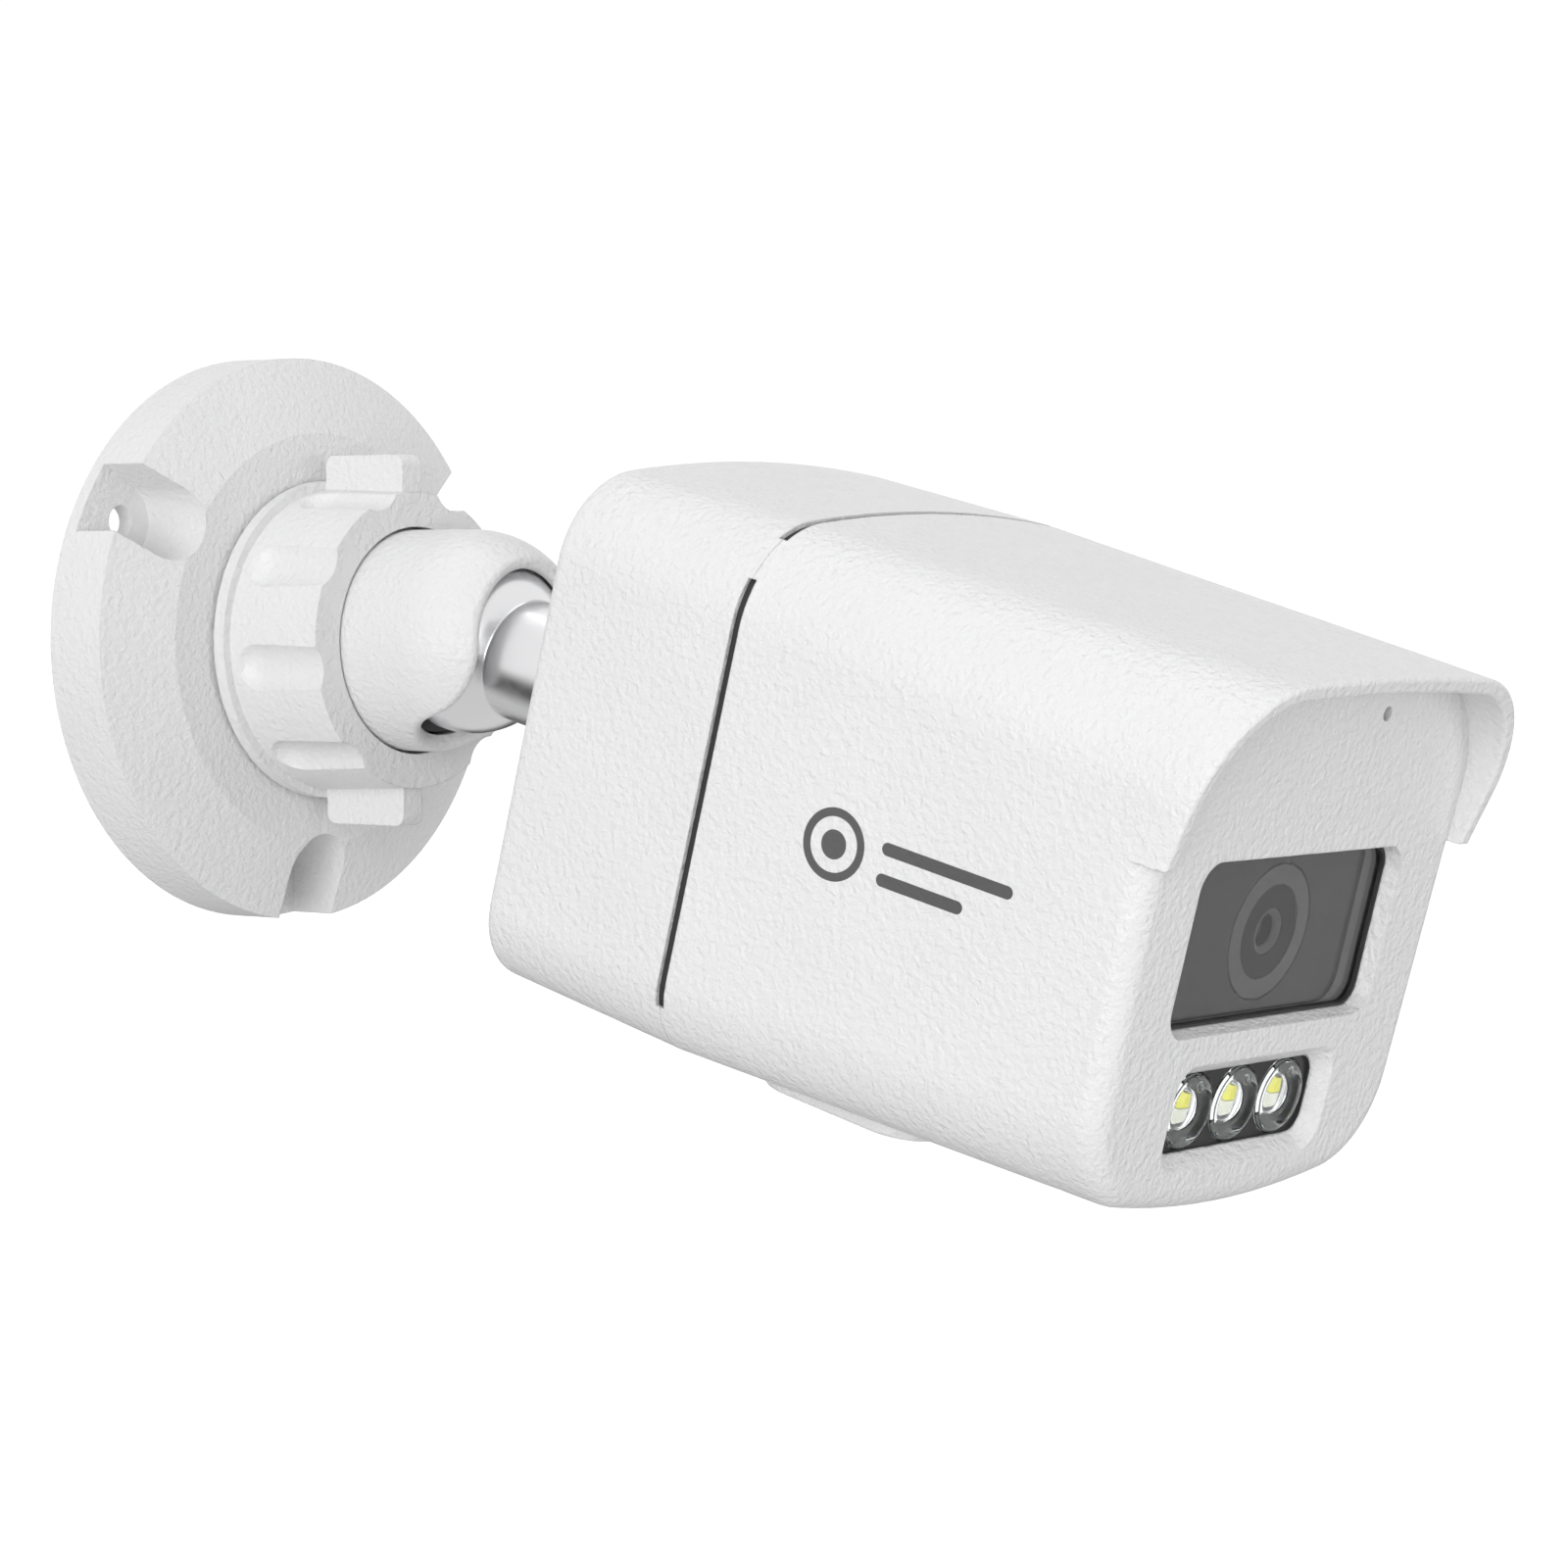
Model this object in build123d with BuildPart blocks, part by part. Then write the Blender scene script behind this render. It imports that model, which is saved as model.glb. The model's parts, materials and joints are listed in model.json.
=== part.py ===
from build123d import *
import os
from math import cos, radians, sin, sqrt

# Bullet security camera on a wall bracket, in millimetres.
# The wall is the plane Y = 0. The camera reaches out along -Y, +Z is up and +X is to the right.
# The origin is the centre of the bracket's wall face.

# ---------------------------------------------------------------- driving dimensions
# Bracket, measured out from the wall
BASE_RADIUS = 37.5
BASE_RIM = 9.4              # height of the rim at its edge
PLATEAU_RADIUS = 27.5
PLATEAU = 13.0
SCREW_CIRCLE = 31.0         # radius of the circle through the wall screw holes
SCREW_HOLE = 2.1
CABLE_HOLE = 6.5
NUT_FRONT = 30.0            # front face of the lock ring
DOME_RADIUS = 14.5
BALL_OUT = 39.9             # ball centre from the wall
BALL_RADIUS = 12.0
NECK_RADIUS = 7.95
TILT = 14.9                 # how far the camera looks down at rest

# Casing, measured forward from the ball centre along the lens axis
REAR = 38.9                 # rear face
SEAM = 67.7                 # where the two housings meet
FACE = 127.4                # front face under the hood
HOOD_END = 137.0            # blank length, before the hood's slanted rim is cut
WALL_THICKNESS = 3.0
FACE_WALL = 2.0

# Running clearance of a shaft in its bore, free gap between moving pieces, gap inside one body
RUNNING = 0.05
FREE = 0.3
FIT = 0.1

# Cross-sections: half widths at the top and bottom corners, crown and belly heights on the centre
# line, how far each arc falls at the corners, and the corner radii
REAR_SECTION = (34.5, 34.3, 33.9, 3.0, 32.8, 3.6, 11.5, 9.5)
SEAM_SECTION = (35.1, 34.9, 34.5, 3.0, 33.4, 3.8, 12.7, 9.5)
FACE_SECTION = (34.3, 31.2, 32.9, 2.0, 32.3, 3.6, 14.5, 13.0)

# Seam between the housings: a gasket just under the skin, and the stretches where the skin is open
SEAM_GAP = 1.2
GASKET_INSET = 0.6
STRIP_DEPTH = 0.2
SIDE_STRIP = (-25.0, 26.3)
TOP_STRIP = 29.5
BELLY_STRIP = 27.5

# Hood
HOOD_LOW = 10.2             # height of the hood's lower tips
HOOD_TIP = 129.3            # rim station at the tips
HOOD_LEAN = 0.227           # forward lean of the rim per millimetre of height
HOOD_WALL = 2.0

# Openings in the face: half width, bottom and top heights at the skin
WINDOW = (21.8, -10.5, 10.1)
LED_BAY = (17.0, -26.8, -14.0)
RECESS = 2.0                # depth of both recesses

LENS_RING = 8.0
LENS_FACE = 5.6
OPTIC_RADIUS = 4.65
OPTIC_PITCH = 9.8
OPTIC_HEIGHT = -20.4

# ---------------------------------------------------------------- frames
forward = (0, -cos(radians(TILT)), -sin(radians(TILT)))
upward = (0, -sin(radians(TILT)), cos(radians(TILT)))
ball_centre = (0, -BALL_OUT, 0)

WALL = Plane(origin=(0, 0, 0), x_dir=(1, 0, 0), z_dir=(0, -1, 0))
WALL_PROFILE = Plane(origin=(0, 0, 0), x_dir=(1, 0, 0), z_dir=(0, 0, -1))
STEM = Axis((0, 0, 0), (0, -1, 0))
CAMERA = Plane(origin=ball_centre, x_dir=(1, 0, 0), z_dir=forward)
CAMERA_PROFILE = Plane(origin=ball_centre, x_dir=(1, 0, 0), z_dir=tuple(-u for u in upward))
CAMERA_SIDE = Plane(origin=ball_centre, x_dir=forward, z_dir=(-1, 0, 0))
LENS = Axis(ball_centre, forward)


# ---------------------------------------------------------------- helpers
def save(piece, name):
    """Label a finished piece and write it as one STEP file."""
    piece.part.label = name
    export_step(piece.part, f"parts/{name}.step")


def rod(plane, length, radius, spots=((0, 0),), mode=Mode.ADD):
    """Add or cut round bars that start on a plane."""
    with BuildSketch(plane) as ends:
        with Locations(*spots):
            Circle(radius)
    extrude(ends.sketch, amount=length, mode=mode)


def slab(plane, thickness, width, height, spots=((0, 0),), corner=0.0, mode=Mode.ADD):
    """Add or cut rectangular plates that start on a plane."""
    with BuildSketch(plane) as faces:
        with Locations(*spots):
            if corner:
                RectangleRounded(width, height, corner)
            else:
                Rectangle(width, height)
    extrude(faces.sketch, amount=thickness, mode=mode)


def turned(plane, axis, outline, mode=Mode.ADD):
    """Add or cut a turned shape from its half profile of (radius, height) points."""
    with BuildSketch(plane) as half:
        with BuildLine():
            Polyline(*outline, close=True)
        make_face()
    revolve(half.sketch, axis=axis, mode=mode)


def casing_outline(station, inset=0.0, drawn_at=None):
    """Cross-section of the casing at a station, a given distance inside its skin."""
    end, section = (FACE, FACE_SECTION) if station > SEAM else (REAR, REAR_SECTION)
    share = (station - SEAM) / (end - SEAM)
    sizes = [a + (b - a) * share for a, b in zip(SEAM_SECTION, section)]
    top_half, low_half, crown, crown_fall, belly, belly_fall, top_radius, low_radius = sizes
    with BuildSketch(CAMERA.offset(station if drawn_at is None else drawn_at)) as outline:
        with BuildLine():
            roof = ThreePointArc((-top_half, crown - crown_fall), (0, crown), (top_half, crown - crown_fall))
            low_end = belly_fall - belly
            floor = ThreePointArc((low_half, low_end), (0, -belly), (-low_half, low_end))
            Line(roof @ 1, floor @ 0)
            Line(floor @ 1, roof @ 0)
        make_face()
        fillet(outline.vertices().group_by(Axis.Y)[-1], top_radius)
        fillet(outline.vertices().group_by(Axis.Y)[0], low_radius)
        if inset:
            offset(amount=-inset)
    return outline.sketch


def casing_block(start, end, inset=0.0, mode=Mode.ADD):
    """Add or cut the casing's shape between two stations."""
    loft([casing_outline(start, inset), casing_outline(end, inset)], mode=mode)


def seam_band(mode=Mode.ADD):
    """Add or cut the band that the seam gasket fills, just under the skin."""
    start = SEAM - SEAM_GAP / 2
    band = casing_outline(SEAM, GASKET_INSET, start) - casing_outline(SEAM, WALL_THICKNESS, start)
    extrude(band, amount=SEAM_GAP, mode=mode)


def open_seam():
    """Cut the skin over the gasket, along the sides, the top and the belly."""
    start = SEAM - SEAM_GAP / 2
    low, high = SIDE_STRIP
    reach = 2 * SEAM_SECTION[0]
    with BuildSketch(CAMERA.offset(start)) as strips:
        with Locations((0, (low + high) / 2)):
            Rectangle(reach + 2 * WALL_THICKNESS, high - low)
        with Locations((0, (reach + high) / 2)):
            Rectangle(2 * TOP_STRIP, reach - high)
        with Locations((0, (low - reach) / 2)):
            Rectangle(2 * BELLY_STRIP, reach + low)
    outer = casing_outline(SEAM, -GASKET_INSET, start)
    skin = outer - casing_outline(SEAM, GASKET_INSET + STRIP_DEPTH, start)
    extrude(skin & strips.sketch, amount=SEAM_GAP, mode=Mode.SUBTRACT)


def recess_plan(opening, shrink):
    """Width, height and centre of a face opening, made smaller all round."""
    half_width, bottom, top = opening
    return 2 * (half_width - shrink), top - bottom - 2 * shrink, (0, (top + bottom) / 2)


os.makedirs("parts", exist_ok=True)

# ================================================================ wall bracket
# ---------------------------------------------------------------- mounting base
BASE_SKIN = 2.6
NOTCH_HALF = 5.0
NOTCH_FLOOR = 2.4
NOTCH_WALL = 1.8
BOSS_RADIUS = 16.4
BOSS_TOP = 23.6
BOSS_BORE = 12.2
SEAT_LEDGE = 18.0
BASE_FILLET = 0.5
notch_angles = (-60, 60, 180)      # clockwise from the top, seen from the front
rib_angles = (0, 120, 240)

with BuildPart() as mounting_base:
    turned(WALL_PROFILE, STEM, [
        (CABLE_HOLE, 0), (BASE_RADIUS - BASE_FILLET, 0), (BASE_RADIUS, BASE_FILLET),
        (BASE_RADIUS, BASE_RIM), (PLATEAU_RADIUS, PLATEAU), (BOSS_RADIUS, PLATEAU),
        (BOSS_RADIUS, BOSS_TOP), (BOSS_BORE, BOSS_TOP), (BOSS_BORE, SEAT_LEDGE), (CABLE_HOLE, SEAT_LEDGE),
    ])
    # Hollow back, with a wall round each notch and ribs between them
    with BuildSketch(WALL) as hollow:
        Circle(BASE_RADIUS - BASE_SKIN)
        Circle(CABLE_HOLE + BASE_SKIN, mode=Mode.SUBTRACT)
        for angle in notch_angles:
            with Locations(Rot(Z=-angle)):
                with Locations((0, SCREW_CIRCLE)):
                    Circle(NOTCH_HALF + NOTCH_WALL, mode=Mode.SUBTRACT)
                with Locations((0, SCREW_CIRCLE + BASE_RADIUS / 2)):
                    Rectangle(2 * (NOTCH_HALF + NOTCH_WALL), BASE_RADIUS, mode=Mode.SUBTRACT)
        for angle in rib_angles:
            with Locations(Rot(Z=-angle)):
                with Locations((0, BASE_RADIUS / 2)):
                    Rectangle(BASE_SKIN / 2, BASE_RADIUS, mode=Mode.SUBTRACT)
    extrude(hollow.sketch, amount=BASE_RIM - BASE_SKIN, mode=Mode.SUBTRACT)
    # U-shaped notches, open at the rim, with a thin floor and a screw hole each
    with BuildSketch(WALL.offset(NOTCH_FLOOR)) as notches:
        for angle in notch_angles:
            with Locations(Rot(Z=-angle)):
                with Locations((0, SCREW_CIRCLE)):
                    Circle(NOTCH_HALF)
                with Locations((0, SCREW_CIRCLE + BASE_RADIUS / 2)):
                    Rectangle(2 * NOTCH_HALF, BASE_RADIUS)
    extrude(notches.sketch, amount=PLATEAU, mode=Mode.SUBTRACT)
    with BuildSketch(WALL) as screw_holes:
        with PolarLocations(SCREW_CIRCLE, len(notch_angles), start_angle=-90):
            Circle(SCREW_HOLE)
    extrude(screw_holes.sketch, amount=NOTCH_FLOOR, mode=Mode.SUBTRACT)
save(mounting_base, "mounting_base")

# ---------------------------------------------------------------- clamp seat, the cup under the ball
SEAT_BORE = 6.0
SEAT_RIM = 33.4
seat_sphere = BALL_RADIUS + FREE
seat_outer = BOSS_BORE - FREE

with BuildPart() as clamp_seat:
    turned(WALL_PROFILE, STEM, [
        (SEAT_BORE, SEAT_LEDGE), (seat_outer, SEAT_LEDGE), (seat_outer, SEAT_RIM), (SEAT_BORE, SEAT_RIM),
    ])
    with Locations(ball_centre):
        Sphere(seat_sphere, mode=Mode.SUBTRACT)
save(clamp_seat, "clamp_seat")

# ---------------------------------------------------------------- lock ring
RING_BACK = PLATEAU + 0.5
FLANGE_RADIUS = 21.1
FLANGE_TOP = 15.3
GRIP_RADIUS = 19.9
GRIP_DRAFT = 0.5
LIP_BACK = 27.0
RING_HOLE = DOME_RADIUS + 0.4
THREAD_BORE = BOSS_RADIUS + 0.5
FLUTE_RADIUS = 4.2
FLUTE_CENTRE = 22.4
FIN_REACH = 24.4
FIN_THICK = 3.6
FIN_FRONT = 29.0
FIN_CORNER = 1.4
FLUTE_START = FLANGE_TOP + 4.5  # where the round back end of each flute is centred
FLUTE_STEP = 40
flute_angles = [angle for angle in range(20, 360, FLUTE_STEP) if angle != 180]

with BuildPart() as lock_ring:
    turned(WALL_PROFILE, STEM, [
        (THREAD_BORE, RING_BACK), (FLANGE_RADIUS, RING_BACK), (FLANGE_RADIUS, FLANGE_TOP),
        (GRIP_RADIUS, FLANGE_TOP), (GRIP_RADIUS - GRIP_DRAFT, NUT_FRONT), (RING_HOLE, NUT_FRONT),
        (RING_HOLE, LIP_BACK), (THREAD_BORE, LIP_BACK),
    ])
    flute_spots = [(FLUTE_CENTRE * sin(radians(a)), FLUTE_CENTRE * cos(radians(a))) for a in flute_angles]
    rod(WALL.offset(FLUTE_START), NUT_FRONT, FLUTE_RADIUS, flute_spots, mode=Mode.SUBTRACT)
    with Locations(*[(x, -FLUTE_START, z) for x, z in flute_spots]):
        Sphere(FLUTE_RADIUS, mode=Mode.SUBTRACT)
    fin_root = (THREAD_BORE + GRIP_RADIUS) / 2
    with BuildSketch(Plane.YZ) as fins:
        for side in (1, -1):
            with Locations((-(FLANGE_TOP + FIN_FRONT) / 2, side * (fin_root + FIN_REACH) / 2)):
                Rectangle(FIN_FRONT - FLANGE_TOP, FIN_REACH - fin_root)
        tips = fins.vertices().sort_by(Axis.Y)
        fillet(tips[:2] + tips[-2:], FIN_CORNER)
    extrude(fins.sketch, amount=FIN_THICK / 2, both=True)
save(lock_ring, "lock_ring")

# ---------------------------------------------------------------- swivel dome
DOME_COLLAR = 16.2
COLLAR_BACK = BOSS_TOP + 0.3
COLLAR_FRONT = LIP_BACK - 0.3
SLOT_HALF = 9.4
SLOT_EDGE = 1.0              # rounding of the slot's outer edge
SLOT_REACH = 72.0            # tilt of the slot's lower end, from straight out
dome_inner = BALL_RADIUS + FREE


def tilted(angle, reach):
    """A point in the bracket's middle plane, at a tilt below straight out from the ball centre."""
    return -BALL_OUT - reach * cos(radians(angle)), -reach * sin(radians(angle))


def on_slot_rim(edge):
    """Whether an edge is where the slot breaks through the dome's outer skin."""
    point = edge @ 0.5
    from_stem = sqrt(point.X ** 2 + point.Z ** 2)
    from_centre = (point - Vector(ball_centre)).length
    reach = from_stem if point.Y > -BALL_OUT else from_centre
    in_slot = max(abs(point.X), point.Z) < SLOT_HALF + RUNNING and point.Y < -NUT_FRONT
    return in_slot and abs(reach - DOME_RADIUS) < RUNNING


with BuildPart() as swivel_dome:
    rod(WALL.offset(COLLAR_BACK), COLLAR_FRONT - COLLAR_BACK, DOME_COLLAR)
    rod(WALL.offset(COLLAR_FRONT), BALL_OUT - COLLAR_FRONT, DOME_RADIUS)
    with Locations(ball_centre):
        Sphere(DOME_RADIUS)
    rod(WALL.offset(COLLAR_BACK), BALL_OUT - COLLAR_BACK, dome_inner, mode=Mode.SUBTRACT)
    with Locations(ball_centre):
        Sphere(dome_inner, mode=Mode.SUBTRACT)
    # The slot lets the neck swing from straight out to nearly straight down
    outside = 2 * DOME_RADIUS
    for angle in (0, SLOT_REACH):
        out, drop = tilted(angle, 1)
        end_of_slot = Plane(origin=ball_centre, x_dir=(1, 0, 0), z_dir=(0, out + BALL_OUT, drop))
        rod(end_of_slot, outside, SLOT_HALF, mode=Mode.SUBTRACT)
    with BuildSketch(Plane.YZ) as sweep_of_neck:
        with BuildLine():
            Polyline(tilted(0, 0), tilted(0, outside), tilted(SLOT_REACH / 2, 2 * outside),
                     tilted(SLOT_REACH, outside), close=True)
        make_face()
    extrude(sweep_of_neck.sketch, amount=SLOT_HALF, both=True, mode=Mode.SUBTRACT)
    fillet(swivel_dome.edges().filter_by(on_slot_rim), SLOT_EDGE)
save(swivel_dome, "swivel_dome")

# ---------------------------------------------------------------- ball arm
NECK_END = REAR - FREE
JOURNAL = 6.5
REAR_BOSS_END = 47.0
THREAD_RADIUS = 5.6
ARM_END = 53.0
ARM_BORE = 3.6
BALL_FLAT = 10.6             # where the ball is cut off at the back
NUT_START = 48.6
NUT_ACROSS = 16.0
THREAD_SHOWING = 0.6
WASHER_RADIUS = 8.5

with BuildPart() as ball_arm:
    with Locations(ball_centre):
        Sphere(BALL_RADIUS)
    rod(CAMERA, NECK_END, NECK_RADIUS)
    rod(CAMERA.offset(NECK_END), REAR_BOSS_END + FREE - NECK_END, JOURNAL)
    rod(CAMERA.offset(REAR_BOSS_END), ARM_END - REAR_BOSS_END, THREAD_RADIUS)
    split(bisect_by=CAMERA.offset(-BALL_FLAT), keep=Keep.TOP)
    rod(CAMERA.offset(-BALL_RADIUS), ARM_END + BALL_RADIUS, ARM_BORE, mode=Mode.SUBTRACT)
save(ball_arm, "ball_arm")

with BuildPart() as neck_washer:
    washer_start = REAR_BOSS_END + FREE
    rod(CAMERA.offset(washer_start), NUT_START - washer_start, WASHER_RADIUS)
    rod(CAMERA.offset(washer_start), NUT_START - washer_start, THREAD_RADIUS, mode=Mode.SUBTRACT)
save(neck_washer, "neck_washer")

with BuildPart() as neck_nut:
    with BuildSketch(CAMERA.offset(NUT_START)):
        RegularPolygon(NUT_ACROSS / 2, 6, major_radius=False)
        Circle(THREAD_RADIUS, mode=Mode.SUBTRACT)
    extrude(amount=ARM_END - NUT_START - THREAD_SHOWING)
save(neck_nut, "neck_nut")

# ================================================================ casing
EDGE_REAR = 1.6
EDGE_FACE = 3.0
RIM_EDGE = 0.5
BOSS = 3.5
SCREW_CLEAR = 1.7
SCREW_SHANK = 1.45
SCREW_HEAD = 2.8
HEAD_POCKET = 3.0
HEAD_SEAT = 42.0             # underside of the screw heads
HEAD_THICK = 2.0
SCREW_END = 80.0
boss_spots = [(x, y) for x in (-28.4, 28.4) for y in (-18.0, 18.0)]

# ---------------------------------------------------------------- rear housing
SEAL_START = 43.0
SEAL_WIDTH = 1.6
SEAL_RADIUS = 8.0

with BuildPart() as rear_housing:
    casing_block(REAR, SEAM)
    fillet(rear_housing.faces().sort_by(LENS)[0].edges(), EDGE_REAR)
    casing_block(REAR + WALL_THICKNESS, SEAM, WALL_THICKNESS, mode=Mode.SUBTRACT)
    inner_back = CAMERA.offset(REAR + WALL_THICKNESS / 2)
    rod(inner_back, REAR_BOSS_END - REAR - WALL_THICKNESS / 2, JOURNAL + BOSS)
    rod(inner_back, SEAM - REAR - WALL_THICKNESS / 2, BOSS, boss_spots)
    rod(CAMERA.offset(REAR), HEAD_SEAT - REAR, HEAD_POCKET, boss_spots, mode=Mode.SUBTRACT)
    rod(CAMERA.offset(REAR), SEAM - REAR, SCREW_CLEAR, boss_spots, mode=Mode.SUBTRACT)
    rod(CAMERA.offset(REAR), REAR_BOSS_END - REAR, JOURNAL + RUNNING, mode=Mode.SUBTRACT)
    rod(CAMERA.offset(SEAL_START), SEAL_WIDTH, SEAL_RADIUS, mode=Mode.SUBTRACT)
    seam_band(mode=Mode.SUBTRACT)
    open_seam()
save(rear_housing, "rear_housing")

with BuildPart() as neck_seal:
    rod(CAMERA.offset(SEAL_START), SEAL_WIDTH, SEAL_RADIUS)
    rod(CAMERA.offset(SEAL_START), SEAL_WIDTH, JOURNAL + RUNNING, mode=Mode.SUBTRACT)
save(neck_seal, "neck_seal")

with BuildPart() as seam_gasket:
    seam_band()
save(seam_gasket, "seam_gasket")

# ---------------------------------------------------------------- front housing with its hood
HOOD_ROOT = 112.0
HOOD_TOP = 40.0
WINDOW_SLOPE = 0.5           # how far the window recess narrows over its depth
LED_SLOPE = 1.7
SKIN_CORNER = 3.5
FLOOR_CORNER = 2.6
MIC_SPOT = (9.95, 26.3)
MIC_HOLE = 0.88
post_spots = [(x, y) for x in (-26.0, 26.0) for y in (-9.0, 9.0)]
POST = 2.4
POST_END = 114.0
POST_PILOT = 0.9
COVER_STATION = 84.6
COVER_SIZE = (43.0, 24.8)
COVER_CORNER = 6.0
COVER_FLOOR = 31.2           # pocket floor, below the lens axis
COVER_SKIN = 33.5
HATCH = (17.2, 14.0)
HATCH_CORNER = 2.0
COVER_SCREW = 17.0
COVER_BOSS = 2.6
COVER_PILOT = 0.9
cover_screw_spots = [(-COVER_SCREW, COVER_STATION), (COVER_SCREW, COVER_STATION)]


def below(depth):
    """A plane facing down at a depth below the lens axis, with its own Y along the axis."""
    return CAMERA_PROFILE.offset(depth)


def face_recess(opening, slope):
    """Cut a recess with sloping walls, and the hole in its floor."""
    width, height, centre = recess_plan(opening, 0)
    with BuildSketch(CAMERA.offset(FACE)) as mouth:
        with Locations(centre):
            RectangleRounded(width, height, SKIN_CORNER)
    width, height, centre = recess_plan(opening, slope)
    with BuildSketch(CAMERA.offset(FACE - RECESS)) as floor:
        with Locations(centre):
            RectangleRounded(width, height, FLOOR_CORNER)
    loft([mouth.sketch, floor.sketch], mode=Mode.SUBTRACT)


with BuildPart() as hood:
    casing_block(SEAM, HOOD_END)
    with BuildSketch(CAMERA_SIDE) as side_view:
        with BuildLine():
            rim_top = HOOD_TIP + HOOD_LEAN * (HOOD_TOP - HOOD_LOW)
            Polyline((HOOD_ROOT, HOOD_LOW), (HOOD_TIP, HOOD_LOW), (rim_top, HOOD_TOP), (HOOD_ROOT, HOOD_TOP),
                     close=True)
        make_face()
    extrude(amount=BASE_RADIUS, both=True, mode=Mode.INTERSECT)
    casing_block(FACE, HOOD_END, HOOD_WALL, mode=Mode.SUBTRACT)
    fillet(hood.faces().sort_by(LENS)[-1].edges(), RIM_EDGE)

with BuildPart() as front_housing:
    casing_block(SEAM, HOOD_END)
    split(bisect_by=CAMERA.offset(FACE), keep=Keep.BOTTOM)
    fillet(front_housing.faces().sort_by(LENS)[-1].edges(), EDGE_FACE)
    add(hood.part)
    casing_block(SEAM, FACE - FACE_WALL, WALL_THICKNESS, mode=Mode.SUBTRACT)
    rod(CAMERA.offset(SEAM), SCREW_END + BOSS - SEAM, BOSS, boss_spots)
    rod(CAMERA.offset(SEAM), SCREW_END - SEAM, SCREW_SHANK, boss_spots, mode=Mode.SUBTRACT)
    rod(CAMERA.offset(POST_END), FACE - FACE_WALL - POST_END, POST, post_spots)
    rod(CAMERA.offset(POST_END), FACE - 2 * FACE_WALL - POST_END, POST_PILOT, post_spots, mode=Mode.SUBTRACT)
    face_recess(WINDOW, WINDOW_SLOPE)
    face_recess(LED_BAY, LED_SLOPE)
    rod(CAMERA.offset(FACE - FACE_WALL), FACE_WALL, MIC_HOLE, [MIC_SPOT], mode=Mode.SUBTRACT)
    # Hatch in the belly for the card and the reset button
    pad = COVER_FLOOR - WALL_THICKNESS
    slab(below(pad), WALL_THICKNESS, *COVER_SIZE, [(0, COVER_STATION)], COVER_CORNER)
    rod(below(COVER_FLOOR - 2 * COVER_BOSS), 2 * COVER_BOSS, COVER_BOSS, cover_screw_spots)
    slab(below(COVER_FLOOR), COVER_SKIN, *COVER_SIZE, [(0, COVER_STATION)], COVER_CORNER, Mode.SUBTRACT)
    slab(below(pad), COVER_SKIN, *HATCH, [(0, COVER_STATION)], HATCH_CORNER, Mode.SUBTRACT)
    rod(below(COVER_FLOOR - COVER_BOSS), COVER_SKIN, COVER_PILOT, cover_screw_spots, mode=Mode.SUBTRACT)
    seam_band(mode=Mode.SUBTRACT)
    open_seam()
save(front_housing, "front_housing")

# ---------------------------------------------------------------- housing screws
with BuildPart() as housing_screws:
    rod(CAMERA.offset(HEAD_SEAT - HEAD_THICK), HEAD_THICK, SCREW_HEAD, boss_spots)
    rod(CAMERA.offset(HEAD_SEAT), SCREW_END - HEAD_SEAT, SCREW_SHANK - FIT / 2, boss_spots)
    for spot in boss_spots:
        with BuildSketch(CAMERA.offset(HEAD_SEAT - HEAD_THICK)) as drive:
            with Locations(spot):
                RegularPolygon(SCREW_HEAD / 2, 6)
        extrude(drive.sketch, amount=HEAD_THICK / 2, mode=Mode.SUBTRACT)
save(housing_screws, "housing_screws")

# ---------------------------------------------------------------- bottom cover
COVER_CLEAR = 0.15
COVER_EDGE = 0.6
GASKET_PLAN = (21.2, 18.0)
GASKET_WIDTH = 1.6
GASKET_THICK = 0.8
COVER_HEAD = 1.9
COVER_HEAD_THICK = 1.2
COVER_DRIVE = 0.6            # width and depth of the cross slots
cover_plan = [size - 2 * COVER_CLEAR for size in COVER_SIZE]
gasket_hole = [size - 2 * GASKET_WIDTH for size in GASKET_PLAN]
cover_centre = [(0, COVER_STATION)]

with BuildPart() as bottom_cover:
    slab(below(COVER_FLOOR), COVER_SKIN - COVER_FLOOR, *cover_plan, cover_centre,
         COVER_CORNER - COVER_CLEAR)
    fillet(bottom_cover.faces().sort_by(Axis(ball_centre, upward))[0].edges(), COVER_EDGE)
    slab(below(COVER_FLOOR), GASKET_THICK, *GASKET_PLAN, cover_centre, HATCH_CORNER, Mode.SUBTRACT)
    slab(below(COVER_FLOOR), GASKET_THICK, *gasket_hole, cover_centre, HATCH_CORNER / 2)
    rod(below(COVER_FLOOR), COVER_SKIN - COVER_FLOOR, COVER_PILOT + FIT, cover_screw_spots,
        mode=Mode.SUBTRACT)
    head_seat = below(COVER_SKIN - COVER_HEAD_THICK)
    rod(head_seat, COVER_HEAD_THICK, COVER_HEAD + FIT, cover_screw_spots, mode=Mode.SUBTRACT)
save(bottom_cover, "bottom_cover")

with BuildPart() as cover_gasket:
    slab(below(COVER_FLOOR), GASKET_THICK, *GASKET_PLAN, cover_centre, HATCH_CORNER)
    slab(below(COVER_FLOOR), GASKET_THICK, *gasket_hole, cover_centre, HATCH_CORNER / 2, Mode.SUBTRACT)
save(cover_gasket, "cover_gasket")

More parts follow.
